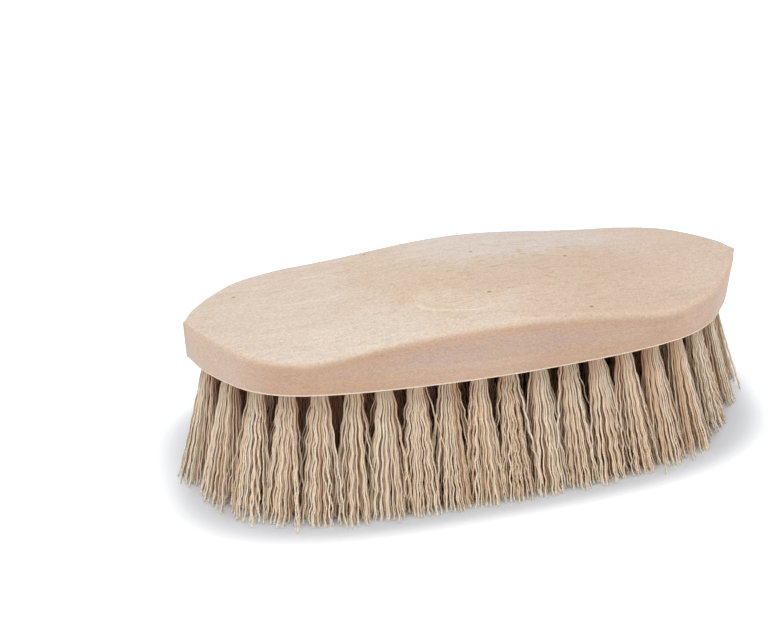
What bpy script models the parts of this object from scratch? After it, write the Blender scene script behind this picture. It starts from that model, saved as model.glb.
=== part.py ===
"""Oval wooden grooming brush, standing on its trimmed bristle tips.

One solid hardwood block is drilled with blind holes, and a tuft of stiff plant fibre sits in each hole.
The origin is on the floor under the middle of the brush, with X along the block and +Z up.
"""

import math

import bmesh
import bpy
import numpy as np
from mathutils import Matrix, Vector

# Wooden block, in metres
BLOCK_LENGTH = 0.216
BLOCK_WIDTH = 0.072
MIDDLE_THICKNESS = 0.0225
END_THICKNESS = 0.0165
CROWN_HALF_LENGTH = 0.079
CROWN_SIDE_DROP = 0.0054
TOP_EDGE_RADIUS = 0.003
NOSE_EDGE_RADIUS = 0.001
WALL_LEAN = 0.0015
LEAN_HALF_WIDTH = 0.012

# Finger cove along each long side
COVE_HALF_LENGTH = 0.069
COVE_DEPTH = 0.0041
COVE_START_HEIGHT = 0.0065

# Tufts and their holes
BRISTLE_LENGTH = 0.056
TUFT_DIAMETER = 0.005
HOLE_DEPTH = 0.009
FIT_CLEARANCE = 0.0003
ROOT_COLLAR = 0.0006
RIM_SIDE_INSET = 0.007
RIM_END_INSET = 0.0085
TIP_SIDE_REACH = 0.0055
TIP_END_REACH = 0.0065
TIP_GAP = 0.0008
TRIM_CUT = 0.0005

# Slice of backing that joins the tufts of an inner row
SLICE_WIDTH = 0.0024
SLICE_THICKNESS = 0.0012
CUT_OVERRUN = 0.002

# Counts
RIM_TUFTS = 38
MIDDLE_ROW_TUFTS = 16
SIDE_ROW_TUFTS = 13
TUFT_SIDES = 6
OUTLINE_STEPS = 2
COVE_STEPS = 3
EDGE_STEPS = 3
CROSS_CUTS = 5
REACH_STEPS = 200
SHARP_ANGLE = math.radians(35)

# Quarter of the block's outline, from the nose to the middle of the long side,
# as shares of the half length and the half width
OUTLINE_SHARES = [
    (1.0, 0.0),
    (0.989, 0.055),
    (0.961, 0.23),
    (0.902, 0.452),
    (0.818, 0.675),
    (0.697, 0.83),
    (0.512, 0.925),
    (0.26, 0.98),
    (0.0, 1.0),
]
# Where the top edge starts to get crisper towards a nose, as a share of the half length
NOSE_START_SHARE = 0.85
# Side rows, as a share of the rim's half width, and the room at a row's ends, as a share of the rim's pitch
SIDE_ROW_SHARE = 0.48
ROW_END_SHARE = 1.0
# How evenly the cove keeps its depth along the block, and how softly it runs out
COVE_FULLNESS = 4
COVE_RUNOUT = 1.5
# How far down a strand it bends, how much of its flare it has there, and its thickness at the tip
BEND_SHARE = 0.5
FLARE_SHARE = 0.4
TIP_THICKNESS_SHARE = 0.85

FACE_HEIGHT = BRISTLE_LENGTH
HALF_LENGTH = BLOCK_LENGTH / 2
HALF_WIDTH = BLOCK_WIDTH / 2
TUFT_RADIUS = TUFT_DIAMETER / 2
HOLE_RADIUS = TUFT_RADIUS + FIT_CLEARANCE / math.cos(math.pi / TUFT_SIDES)


def clear_scene():
    for item in list(bpy.data.objects):
        bpy.data.objects.remove(item, do_unlink=True)


def make_collection(name):
    collection = bpy.data.collections.new(name)
    bpy.context.scene.collection.children.link(collection)
    return collection


def make_material(name, colour, roughness):
    material = bpy.data.materials.new(name)
    material.use_nodes = True
    shader = material.node_tree.nodes["Principled BSDF"]
    shader.inputs["Base Color"].default_value = (*colour, 1.0)
    shader.inputs["Roughness"].default_value = roughness
    shader.inputs["Metallic"].default_value = 0.0
    return material


def make_object(name, bm, collection, place=(0, 0, 0)):
    """Turn a bmesh modelled in world coordinates into an object whose origin is at place."""
    bmesh.ops.recalc_face_normals(bm, faces=bm.faces)
    bmesh.ops.translate(bm, vec=-Vector(place), verts=bm.verts)
    mesh = bpy.data.meshes.new(name)
    bm.to_mesh(mesh)
    bm.free()
    item = bpy.data.objects.new(name, mesh)
    item.location = place
    collection.objects.link(item)
    return item


def hide_guide(item):
    item.hide_render = True
    item.display_type = "WIRE"


def add_boolean(item, operation, guide):
    modifier = item.modifiers.new(guide.name, "BOOLEAN")
    modifier.operation = operation
    modifier.object = guide
    modifier.solver = "EXACT"


def outline_loop(half_length, half_width, steps):
    """Closed smooth loop through the outline's points, mirrored to all four quarters."""
    quarter = [np.array(point) for point in OUTLINE_SHARES]
    upper = quarter + [point * (-1, 1) for point in quarter[-2::-1]]
    corners = upper + [point * (1, -1) for point in upper[-2:0:-1]]
    loop = []
    for index, start in enumerate(corners):
        before = corners[index - 1]
        end = corners[(index + 1) % len(corners)]
        after = corners[(index + 2) % len(corners)]
        for step in range(steps):
            t = step / steps
            point = 0.5 * (2 * start + (end - before) * t + (2 * before - 5 * start + 4 * end - after) * t**2
                           + (3 * start - before - 3 * end + after) * t**3)
            loop.append(point * (half_length, half_width))
    return np.array(loop)


def inward_normals(loop):
    """Unit vectors across the loop, pointing into it."""
    along = np.roll(loop, -1, axis=0) - np.roll(loop, 1, axis=0)
    across = np.stack([-along[:, 1], along[:, 0]], axis=1)
    return across / np.linalg.norm(across, axis=1)[:, None]


def walk_loop(loop, count):
    """Points at equal steps round a closed loop, the first at its nose."""
    closed = np.vstack([loop, loop[:1]])
    lengths = np.concatenate([[0], np.cumsum(np.linalg.norm(np.diff(closed, axis=0), axis=1))])
    stops = np.linspace(0, lengths[-1], count, endpoint=False)
    return np.stack([np.interp(stops, lengths, closed[:, axis]) for axis in range(2)], axis=1)


def row_reach(loop, rim, y, clear):
    """How far along x a row at the given y runs before it comes too near the rim's tufts."""
    quarter = loop[:len(loop) // 4 + 1]
    stops = np.linspace(0, np.interp(abs(y), quarter[:, 1], quarter[:, 0]), REACH_STEPS)
    space = np.array([np.min(np.linalg.norm(rim - (x, y), axis=1)) for x in stops])
    return stops[space >= clear].max()


def top_height(x, y):
    """Height of the crowned top face above the bristle face."""
    along = min(abs(x) / CROWN_HALF_LENGTH, 1.0)
    crown = (MIDDLE_THICKNESS - END_THICKNESS) * math.cos(along * math.pi / 2)**2
    return END_THICKNESS + crown - CROWN_SIDE_DROP * (y / HALF_WIDTH)**2


def cove_inset(x):
    """Depth of the finger cove at the top edge, which runs out towards both ends."""
    along = min(abs(x) / COVE_HALF_LENGTH, 1.0)
    return COVE_DEPTH * (1 - along**COVE_FULLNESS)**COVE_RUNOUT


def ease(value, low, high):
    """0 at low or under, 1 at high or over, and smooth between."""
    t = min(max((value - low) / (high - low), 0.0), 1.0)
    return t * t * (3 - 2 * t)


def wall_lean(y):
    """How far the side wall leans in at its top, which fades out at the two noses."""
    return WALL_LEAN * ease(abs(y), 0, LEAN_HALF_WIDTH)


def edge_radius(x):
    """Radius of the rounded top edge, which gets crisper towards the two noses."""
    crisp = ease(abs(x) / HALF_LENGTH, NOSE_START_SHARE, 1)
    return TOP_EDGE_RADIUS + (NOSE_EDGE_RADIUS - TOP_EDGE_RADIUS) * crisp


def wall_section(point, normal):
    """Places up the side wall at one point of the outline: arris, cove and rounded top edge."""
    x, y = point
    side = math.copysign(1, y)
    lean = wall_lean(y)
    hollow = cove_inset(x)
    radius = edge_radius(x)
    edge_y = y - side * min(lean + hollow, abs(y))
    rim_height = top_height(x, edge_y) - radius
    places = [(x, y, 0)]
    for step in range(COVE_STEPS + 1):
        t = step / COVE_STEPS
        height = COVE_START_HEIGHT + (rim_height - COVE_START_HEIGHT) * t
        inset = lean * height / rim_height + hollow * (1 - (1 - t)**2)
        places.append((x, y - side * min(inset, abs(y)), height))
    for step in range(1, EDGE_STEPS + 1):
        angle = math.pi / 2 * step / EDGE_STEPS
        shift = normal * radius * (1 - math.cos(angle))
        places.append((x + shift[0], edge_y + shift[1], rim_height + radius * math.sin(angle)))
    return [Vector(place) + Vector((0, 0, FACE_HEIGHT)) for place in places]


def shape_block(bm):
    """Raise the outline ring by ring, then crown the top between its two long edges."""
    loop = outline_loop(HALF_LENGTH, HALF_WIDTH, OUTLINE_STEPS)
    sections = [wall_section(point, normal) for point, normal in zip(loop, inward_normals(loop))]
    count = len(sections)
    station = bm.verts.layers.int.new("station")
    ring = bmesh.ops.create_circle(bm, cap_ends=True, segments=count, radius=HALF_WIDTH)["verts"]
    for index, vert in enumerate(ring):
        vert[station] = index
        vert.co = sections[index][0]
    bm.faces.ensure_lookup_table()
    face = bm.faces[0]
    for level in range(1, len(sections[0])):
        grown = bmesh.ops.extrude_face_region(bm, geom=[face])["geom"]
        if level > 1:
            bmesh.ops.delete(bm, geom=[face], context="FACES_ONLY")
        face = next(item for item in grown if isinstance(item, bmesh.types.BMFace))
        for vert in face.verts:
            vert.co = sections[vert[station]][level]
    edge = {vert[station]: vert for vert in face.verts}
    across = []
    for index in range(1, count // 2):
        pair = [edge[index], edge[count - index]]
        across += bmesh.ops.connect_verts(bm, verts=pair)["edges"]
    inner = bmesh.ops.subdivide_edges(bm, edges=across, cuts=CROSS_CUTS, use_grid_fill=True)["geom_inner"]
    for vert in inner:
        if isinstance(vert, bmesh.types.BMVert):
            vert.co.z = FACE_HEIGHT + top_height(vert.co.x, vert.co.y)


def tuft_layout():
    """Where each tuft leaves the block, as a rim and three inner rows, and how far the tips fan out."""
    rim_length = HALF_LENGTH - RIM_END_INSET
    rim_width = HALF_WIDTH - RIM_SIDE_INSET
    fan = np.array([(HALF_LENGTH + TIP_END_REACH) / rim_length, (HALF_WIDTH + TIP_SIDE_REACH) / rim_width])
    root = outline_loop(rim_length, rim_width, OUTLINE_STEPS)
    rim = walk_loop(root, RIM_TUFTS)
    pitch = np.linalg.norm(rim[1] - rim[0])
    row_y = rim_width * SIDE_ROW_SHARE
    plans = (
        ("tuft_row_front", -row_y, SIDE_ROW_TUFTS),
        ("tuft_row_middle", 0, MIDDLE_ROW_TUFTS),
        ("tuft_row_back", row_y, SIDE_ROW_TUFTS),
    )
    rows = {}
    for name, y, count in plans:
        reach = row_reach(root, rim, y, pitch * ROW_END_SHARE)
        rows[name] = np.array([(x, y) for x in np.linspace(-reach, reach, count)])
    return rim, rows, fan


def tip_radius(places, fan):
    """Largest radius that each tuft can spread to at the floor without meeting its nearest neighbour."""
    tips = places * fan
    apart = np.linalg.norm(tips[:, None] - tips[None], axis=2)
    nearest = np.min(apart[apart > 0])
    return (nearest - TIP_GAP) / 2


def hole_prism(bm, place, radius, low, high):
    """Closed prism standing between two heights, for a hole or for a tuft's bound root."""
    centre = Matrix.Translation((place[0], place[1], (low + high) / 2))
    return bmesh.ops.create_cone(bm, cap_ends=True, segments=TUFT_SIDES, radius1=radius, radius2=radius,
                                 depth=high - low, matrix=centre)["verts"]


def empty_tufts():
    """Empty bmesh whose faces can say which strand of their tuft they end."""
    bm = bmesh.new()
    bm.faces.layers.int.new("strand")
    return bm


def grow_tuft(bm, place, fan, spread):
    """Bound root in its hole, with one strand from each sector of its end, fanned out down to the floor."""
    strand = bm.faces.layers.int["strand"]
    root_end = FACE_HEIGHT - ROOT_COLLAR
    verts = hole_prism(bm, place, TUFT_RADIUS, root_end, FACE_HEIGHT + HOLE_DEPTH - FIT_CLEARANCE)
    faces = {face for vert in verts for face in vert.link_faces}
    end = min(faces, key=lambda face: face.calc_center_median().z)
    strands = bmesh.ops.poke(bm, faces=[end])["faces"]
    foot = Vector((place[0], place[1], 0))
    lean = Vector((place[0] * (fan[0] - 1), place[1] * (fan[1] - 1), 0))
    sectors = []
    for index, face in enumerate(strands):
        face[strand] = index
        middle = face.calc_center_median()
        offsets = [loop.vert.co - middle for loop in face.loops]
        away = Vector((middle.x, middle.y, 0)) - foot
        sectors.append((offsets, away))
    thickness = max(offset.length for offset in sectors[0][0]) * TIP_THICKNESS_SHARE
    for down, flare, scale in ((BEND_SHARE, FLARE_SHARE, 1.0), (1.0, 1.0, TIP_THICKNESS_SHARE)):
        strands = bmesh.ops.extrude_discrete_faces(bm, faces=strands)["faces"]
        height = root_end - (root_end + TRIM_CUT) * down
        for face in strands:
            offsets, away = sectors[face[strand]]
            reach = away.length + (spread - thickness - away.length) * flare
            middle = foot + lean * flare + away.normalized() * reach + Vector((0, 0, height))
            for loop, offset in zip(face.loops, offsets):
                loop.vert.co = middle + offset * scale


def trim_at_floor(bm):
    """Cut every strand flat at the floor, as the brush is trimmed."""
    everything = bm.verts[:] + bm.edges[:] + bm.faces[:]
    bmesh.ops.bisect_plane(bm, geom=everything, dist=0, plane_co=(0, 0, 0), plane_no=(0, 0, 1),
                           clear_inner=True)
    bmesh.ops.holes_fill(bm, edges=[edge for edge in bm.edges if edge.is_boundary], sides=0)


def row_bar(bm, row, width, low, high):
    """Straight bar between the first and the last tuft of a row, centred on them."""
    length = row[-1][0] - row[0][0]
    middle = Matrix.Translation(((row[0][0] + row[-1][0]) / 2, row[0][1], (low + high) / 2))
    bmesh.ops.create_cube(bm, size=1, matrix=middle @ Matrix.Diagonal((length, width, high - low, 1)))


def build_block(collection, guides, rim, rows):
    bm = bmesh.new()
    shape_block(bm)
    block = make_object("hardwood_block", bm, collection, (0, 0, FACE_HEIGHT))
    bm = bmesh.new()
    for place in np.vstack([rim, *rows.values()]):
        hole_prism(bm, place, HOLE_RADIUS, FACE_HEIGHT - CUT_OVERRUN, FACE_HEIGHT + HOLE_DEPTH)
    holes = make_object("tuft_hole_cutter", bm, guides)
    bm = bmesh.new()
    for row in rows.values():
        row_bar(bm, row, SLICE_WIDTH + 2 * FIT_CLEARANCE, FACE_HEIGHT - CUT_OVERRUN,
                FACE_HEIGHT + SLICE_THICKNESS + FIT_CLEARANCE)
    grooves = make_object("slice_groove_cutter", bm, guides)
    for guide in (holes, grooves):
        hide_guide(guide)
        add_boolean(block, "DIFFERENCE", guide)
    block.data.shade_smooth()
    block.data.set_sharp_from_angle(angle=SHARP_ANGLE)
    return block


def build_rim_tuft(collection, number, place, fan, spread):
    bm = empty_tufts()
    grow_tuft(bm, place, fan, spread)
    trim_at_floor(bm)
    return make_object(f"rim_tuft_{number:02d}", bm, collection, (place[0], place[1], FACE_HEIGHT))


def build_row(collection, guides, name, row, fan, spread):
    bm = empty_tufts()
    for place in row:
        grow_tuft(bm, place, fan, spread)
    trim_at_floor(bm)
    tufts = make_object(name, bm, collection, (0, row[0][1], FACE_HEIGHT))
    bm = bmesh.new()
    row_bar(bm, row, SLICE_WIDTH, FACE_HEIGHT, FACE_HEIGHT + SLICE_THICKNESS)
    backing = make_object(f"{name}_slice", bm, guides)
    hide_guide(backing)
    add_boolean(tufts, "UNION", backing)
    return tufts


def build_brush():
    clear_scene()
    collection = make_collection("grooming_brush")
    guides = make_collection("guides")
    wood = make_material("pale_hardwood", (0.76, 0.62, 0.51), 0.6)
    fibre = make_material("plant_fibre", (0.55, 0.38, 0.22), 0.75)
    rim, rows, fan = tuft_layout()
    spread = tip_radius(np.vstack([rim, *rows.values()]), fan)
    pieces = [build_block(collection, guides, rim, rows)]
    for number, place in enumerate(rim, start=1):
        pieces.append(build_rim_tuft(collection, number, place, fan, spread))
    for name, row in rows.items():
        pieces.append(build_row(collection, guides, name, row, fan, spread))
    base = bpy.data.objects.new("brush_origin", None)
    collection.objects.link(base)
    for piece in pieces:
        piece.data.materials.append(wood if piece.name == "hardwood_block" else fibre)
        piece.parent = base
    tufts = len(rim) + sum(len(row) for row in rows.values())
    print("tufts", tufts, "strands", tufts * TUFT_SIDES, "tip radius in mm", round(spread * 1000, 2))


build_brush()
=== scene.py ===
# %% [markdown]
# # A wooden grooming brush
# The real brush is one solid block of pale, unvarnished hardwood. Eighty blind holes are drilled into its
# flat face, and a tuft of stiff, crimped plant fibre is set in each one. This file dresses the imported model
# of that brush. The imported model gives every size and place, so it is loaded first.

# %% Load the imported model
import math

import bmesh
import bpy
import numpy as np
from mathutils import Matrix, Vector


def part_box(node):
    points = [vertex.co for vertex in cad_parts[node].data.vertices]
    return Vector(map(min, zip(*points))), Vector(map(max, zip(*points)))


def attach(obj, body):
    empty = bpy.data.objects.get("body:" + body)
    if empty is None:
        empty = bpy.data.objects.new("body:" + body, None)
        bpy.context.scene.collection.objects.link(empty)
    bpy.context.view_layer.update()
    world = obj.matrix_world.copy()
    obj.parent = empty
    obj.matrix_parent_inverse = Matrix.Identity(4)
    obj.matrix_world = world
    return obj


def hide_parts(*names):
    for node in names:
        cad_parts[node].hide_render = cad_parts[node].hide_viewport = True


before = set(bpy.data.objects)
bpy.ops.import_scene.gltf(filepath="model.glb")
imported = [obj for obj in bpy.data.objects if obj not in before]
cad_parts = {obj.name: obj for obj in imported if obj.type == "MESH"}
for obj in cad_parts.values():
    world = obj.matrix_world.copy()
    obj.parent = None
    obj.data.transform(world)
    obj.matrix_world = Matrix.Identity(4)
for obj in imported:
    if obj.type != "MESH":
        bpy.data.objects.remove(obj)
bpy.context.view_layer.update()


def in_mm(box):
    """Both corners of a box in millimetres."""
    return [[round(v * 1000, 1) for v in corner] for corner in box]


# %% [markdown]
# ## Camera
# The photograph looks down on the long side of the brush from the front, with the brush turned a little so
# that its right end is farther away. The turn, the tilt and the distance were worked out from the block's
# edges in the photograph. Three rotations and two moves put the camera there: first the pan about the
# upright axis, then the tilt, then a slight roll, and at last a step back along the line of sight.

# %% Place the camera
PAN = math.radians(-14.71)
TILT = math.radians(90 - 37.54)
ROLL = math.radians(1.26)
STEP_BACK = (-0.0323, 0.00127, 0.441)
LENS = 53.7
SENSOR = 36

block_low, block_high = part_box("hardwood_block")
FACE_HEIGHT = block_low.z
camera = bpy.data.objects.new("camera", bpy.data.cameras.new("camera"))
bpy.context.scene.collection.objects.link(camera)
camera.data.lens = LENS
camera.data.sensor_width = SENSOR
turn = Matrix.Rotation(PAN, 4, "Z") @ Matrix.Rotation(TILT, 4, "X") @ Matrix.Rotation(ROLL, 4, "Z")
camera.matrix_world = Matrix.Translation((0, 0, FACE_HEIGHT)) @ turn @ Matrix.Translation(STEP_BACK)
bpy.context.scene.camera = camera
print("camera at", [round(v, 3) for v in camera.matrix_world.translation])

# %% [markdown]
# ## Light
# The photograph is a catalogue picture: soft light from all round and a large soft lamp above. A lamp above
# and three low ones give the light its direction, and a white room, which is made after the helpers below,
# fills the shadows. Together they bring a surface to about its written colour. Each lamp is listed with its
# place and its side in metres and its power in watts.

# %% Light the scene
LAMPS = {
    "soft_lamp_above": ((-0.05, 0.15, 1.0), 0.9, 5.4),
    "soft_lamp_left": ((-0.90, -0.90, 0.17), 0.5, 7.7),
    "soft_lamp_right": ((0.80, -0.80, 0.15), 0.5, 5.4),
    "soft_lamp_behind": ((0.0, 1.0, 0.35), 0.6, 1.7),
}


def add_lamp(name, place, side, power):
    """Square lamp that faces the middle of the brush."""
    lamp = bpy.data.objects.new(name, bpy.data.lights.new(name, "AREA"))
    lamp.data.size = side
    lamp.data.energy = power
    lamp.location = place
    lamp.rotation_mode = "QUATERNION"
    lamp.rotation_quaternion = (-Vector(place)).to_track_quat("-Z", "Y")
    bpy.context.scene.collection.objects.link(lamp)


for lamp_name, (place, side, power) in LAMPS.items():
    add_lamp(lamp_name, place, side, power)
bpy.context.scene.view_settings.view_transform = "Standard"
print("lamps", len(LAMPS))

# %% [markdown]
# Colours are written as they look on a screen, from 0 to 255, because that is how a colour is read from a
# picture. Shaders work with light itself, so each number is turned into an amount of light. Small helpers
# that add a node, with its values and its links, keep every material below short enough to read. A pair of
# numbers, such as a pair of distances, says where a change starts and where it is complete.


# %% Helpers for colours and nodes
def screen_colour(red, green, blue):
    """Amount of light for a colour written as on a screen."""
    shares = [value / 255 for value in (red, green, blue)]
    return (*[s / 12.92 if s <= 0.04045 else ((s + 0.055) / 1.055) ** 2.4 for s in shares], 1.0)


def add_node(tree, kind, settings=None, **inputs):
    """Add a node, set its options, and give each named or numbered input a value or a link."""
    node = tree.nodes.new(kind)
    for name, value in (settings or {}).items():
        setattr(node, name, value)
    for name, value in inputs.items():
        socket = node.inputs[int(name[1:])] if name[1:].isdigit() else node.inputs[name.replace("_", " ")]
        if isinstance(value, bpy.types.NodeSocket):
            tree.links.new(value, socket)
        else:
            socket.default_value = value
    return node


def maths(tree, operation, first, second=0.0):
    return add_node(tree, "ShaderNodeMath", {"operation": operation}, _0=first, _1=second).outputs[0]


def part(tree, amount, share):
    """Amount times share."""
    return maths(tree, "MULTIPLY", amount, share)


def rest_of(tree, amount):
    """What is left of 1."""
    return maths(tree, "SUBTRACT", 1.0, amount)


def climb(tree, amount, rise, low):
    """Value that starts at low and grows by rise as amount goes from 0 to 1."""
    return maths(tree, "ADD", part(tree, amount, rise), low)


def vectors(tree, operation, first, second=(0.0, 0.0, 0.0)):
    return add_node(tree, "ShaderNodeVectorMath", {"operation": operation}, _0=first, _1=second).outputs[0]


def vector_value(tree, operation, first, second=(0.0, 0.0, 0.0)):
    """Single value that a vector operation gives."""
    node = add_node(tree, "ShaderNodeVectorMath", {"operation": operation}, _0=first, _1=second)
    return node.outputs["Value"]


def spread(tree, value, low, high):
    """0 where value is at low or under, 1 where it is at high or over, and smooth between."""
    settings = {"interpolation_type": "SMOOTHSTEP"}
    return add_node(tree, "ShaderNodeMapRange", settings, Value=value, From_Min=low, From_Max=high).outputs[0]


print("a screen grey of 128 is", round(screen_colour(128, 128, 128)[0], 3), "of full light")


# %% Helpers for materials
RELIEF_STRENGTH = 0.3


def attribute(tree, name):
    """Value that the mesh carries at each of its corners."""
    return add_node(tree, "ShaderNodeAttribute", {"attribute_name": name}).outputs["Fac"]


def mix(tree, amount, first, second):
    """Colour that goes from first to second as amount goes from 0 to 1."""
    node = add_node(tree, "ShaderNodeMix", {"data_type": "RGBA"}, _0=amount, _6=first, _7=second)
    return node.outputs[2]


def add_layers(tree, colour, layers):
    """Colour with each layer laid over it by its amount, in turn."""
    for amount, layer_colour in layers:
        colour = mix(tree, amount, colour, layer_colour)
    return colour


def add_relief(tree, shader, height, depth):
    """Fine relief of the given depth in metres."""
    bump = add_node(tree, "ShaderNodeBump", Strength=RELIEF_STRENGTH, Distance=depth, Height=height)
    tree.links.new(bump.outputs["Normal"], shader.inputs["Normal"])


def new_material(name):
    material = bpy.data.materials.new(name)
    material.use_nodes = True
    return material, material.node_tree, material.node_tree.nodes["Principled BSDF"]


def in_view(tree):
    """1 for light that the camera sees, straight, mirrored or through glass, and 0 for light on things."""
    path = add_node(tree, "ShaderNodeLightPath").outputs
    mirrored = maths(tree, "MAXIMUM", path["Is Glossy Ray"], path["Is Transmission Ray"])
    return maths(tree, "MAXIMUM", path["Is Camera Ray"], mirrored)


# %% [markdown]
# ## Room and floor
# The room is a world of plain white. It lights the brush only dimly, but it is seen as full white,
# straight, mirrored or through glass, and so is the floor. A narrow cool shadow stays round the tips,
# because the floor is lifted by its distance from the middle of the combed tips. Under the brush the floor
# has a painted brown shade, which stands for the shadow of the fibres and the warm light that comes down
# between them. The rim of the tips is between an oval and an oblong, and cubes in place of squares give a
# distance of that shape.

# %% Put a white room round the brush
WHITE = (1.0, 1.0, 1.0, 1.0)
WORLD_STRENGTH = 0.32

world = bpy.data.worlds.new("white_room")
world.use_nodes = True
background = world.node_tree.nodes["Background"].inputs
background["Color"].default_value = WHITE
strength = maths(world.node_tree, "MAXIMUM", in_view(world.node_tree), WORLD_STRENGTH)
world.node_tree.links.new(strength, background["Strength"])
bpy.context.scene.world = world
print("room gives light of", WORLD_STRENGTH, "and is seen as 1")

# %% Lay the floor
FLOOR_HALF_SIDE = 3.0


def place_object(name, bm):
    """Object with the mesh of a bmesh, which is freed."""
    item = bpy.data.objects.new(name, bpy.data.meshes.new(name))
    bm.to_mesh(item.data)
    bm.free()
    bpy.context.scene.collection.objects.link(item)
    return item


bm = bmesh.new()
bmesh.ops.create_grid(bm, x_segments=1, y_segments=1, size=FLOOR_HALF_SIDE)
floor = place_object("floor", bm)
print("floor is", 2 * FLOOR_HALF_SIDE, "m wide")

# %% Floor material
FLOOR_COLOUR = (0.60, 0.62, 0.66, 1.0)
# Painted brown shade for the floor under the brush.
PAINTED_SHADE_UNDER_BRUSH = (0.38, 0.24, 0.16, 1.0)
FIELD_MIDDLE = (0.0035, 0.0, 0.0)
FIELD_PER_METRE = (8.35, 20.0, 0.0)
# Where the painted shade under the brush fades out.
PAINTED_SHADE_DISTANCES = (0.82, 0.93)
NEAR_DISTANCES = (0.80, 0.95)
FAR_DISTANCES = (0.93, 1.185)
LIFT_NEAR = 0.17
LIFT_FAR = 0.82


def field_distance(tree):
    """Distance from the middle of the combed tips, which is about 1 on their rim."""
    place = vectors(tree, "SUBTRACT", add_node(tree, "ShaderNodeTexCoord").outputs["Object"], FIELD_MIDDLE)
    spans = vectors(tree, "MULTIPLY", place, FIELD_PER_METRE)
    cubes = vectors(tree, "MULTIPLY", vectors(tree, "MULTIPLY", spans, spans), spans)
    total = vector_value(tree, "DOT_PRODUCT", vectors(tree, "ABSOLUTE", cubes), (1.0, 1.0, 0.0))
    return maths(tree, "POWER", total, 1 / 3)


def build_floor():
    material, tree, shader = new_material("white_floor")
    shader.inputs["Roughness"].default_value = 1.0
    shader.inputs["Specular IOR Level"].default_value = 0.0
    shader.inputs["Emission Color"].default_value = WHITE
    distance = field_distance(tree)
    # The floor under the tips takes the painted brown shade.
    colour = mix(tree, spread(tree, distance, *PAINTED_SHADE_DISTANCES), PAINTED_SHADE_UNDER_BRUSH, FLOOR_COLOUR)
    tree.links.new(colour, shader.inputs["Base Color"])
    near = part(tree, spread(tree, distance, *NEAR_DISTANCES), LIFT_NEAR)
    far = part(tree, spread(tree, distance, *FAR_DISTANCES), LIFT_FAR - LIFT_NEAR)
    lift = part(tree, in_view(tree), maths(tree, "ADD", near, far))
    tree.links.new(lift, shader.inputs["Emission Strength"])
    return material


floor.data.materials.append(build_floor())
print("floor nodes", len(floor.data.materials[0].node_tree.nodes))

# %% [markdown]
# ## The shape of the block
# A maker cuts the block's outline on a band saw, crowns its back, runs a shallow finger cove along each
# long side with a shaped cutter, and sands the upper edge round. The mesh follows the same steps. It starts
# as a circle whose points are moved onto the outline, and that face is extruded ring by ring up the side
# wall, over the rounded edge and onto the back. The outline is drawn from nine points for a quarter, as
# shares of half the length and half the width, joined by a smooth curve and mirrored, so that a few numbers
# keep the whole oval fair.

# %% Sizes of the block
HALF_LENGTH = (block_high.x - block_low.x) / 2
HALF_WIDTH = (block_high.y - block_low.y) / 2
MIDDLE_THICKNESS = block_high.z - block_low.z
OUTLINE_STEPS = 6
OUTLINE_SHARES = [
    (1.0, 0.0),
    (0.989, 0.055),
    (0.961, 0.23),
    (0.902, 0.452),
    (0.818, 0.675),
    (0.697, 0.83),
    (0.512, 0.925),
    (0.26, 0.98),
    (0.0, 1.0),
]


def outline_loop(half_length, half_width, steps):
    """Closed smooth loop through the outline's points, mirrored to all four quarters."""
    quarter = [np.array(point) for point in OUTLINE_SHARES]
    upper = quarter + [point * (-1, 1) for point in quarter[-2::-1]]
    corners = upper + [point * (1, -1) for point in upper[-2:0:-1]]
    loop = []
    for index, start in enumerate(corners):
        before = corners[index - 1]
        end = corners[(index + 1) % len(corners)]
        after = corners[(index + 2) % len(corners)]
        for t in np.arange(steps) / steps:
            point = 0.5 * (2 * start + (end - before) * t + (2 * before - 5 * start + 4 * end - after) * t**2
                           + (3 * start - before - 3 * end + after) * t**3)
            loop.append(point * (half_length, half_width))
    return np.array(loop)


def inward_normals(loop):
    """Direction straight in from the outline at each of its points."""
    along = np.roll(loop, -1, axis=0) - np.roll(loop, 1, axis=0)
    across = np.stack([-along[:, 1], along[:, 0]], axis=1)
    return across / np.linalg.norm(across, axis=1)[:, None]


outline = outline_loop(HALF_LENGTH, HALF_WIDTH, OUTLINE_STEPS)
print("outline points", len(outline), "block in mm", in_mm((block_low, block_high)))

# %% [markdown]
# The wall is not upright. It leans in a little on its way up, except at the two noses. From the bristle
# face it has a tiny worn arris, a straight band, and then the cove, which cuts deeper towards the top edge
# and runs out towards both ends. The rounded edge turns until it meets the slope of the crowned back, so
# the two join without a crease, and it gets crisper towards the noses.


# %% Crown, cove and edge along the block
END_THICKNESS = 0.0165
CROWN_HALF_LENGTH = 0.079
CROWN_SIDE_DROP = 0.0054
COVE_HALF_LENGTH = 0.069
COVE_DEPTH = 0.0041
COVE_FULLNESS = 4
COVE_RUNOUT = 1.5
WALL_LEAN = 0.0015
LEAN_HALF_WIDTH = 0.012
TOP_EDGE_RADIUS = 0.003
NOSE_EDGE_RADIUS = 0.001
NOSE_START_SHARE = 0.85


def top_height(x, y):
    """Height of the crowned back above the bristle face."""
    along = min(abs(x) / CROWN_HALF_LENGTH, 1.0)
    crown = (MIDDLE_THICKNESS - END_THICKNESS) * math.cos(along * math.pi / 2) ** 2
    return END_THICKNESS + crown - CROWN_SIDE_DROP * (y / HALF_WIDTH) ** 2


def cove_inset(x):
    """Depth of the finger cove at the top edge."""
    along = min(abs(x) / COVE_HALF_LENGTH, 1.0)
    return COVE_DEPTH * (1 - along**COVE_FULLNESS) ** COVE_RUNOUT


def ease(value, low, high):
    """0 at low or under, 1 at high or over, and smooth between."""
    t = min(max((value - low) / (high - low), 0.0), 1.0)
    return t * t * (3 - 2 * t)


def wall_lean(y):
    """How far the side wall leans in at its top, which fades out at the two noses."""
    return WALL_LEAN * ease(abs(y), 0, LEAN_HALF_WIDTH)


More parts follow.
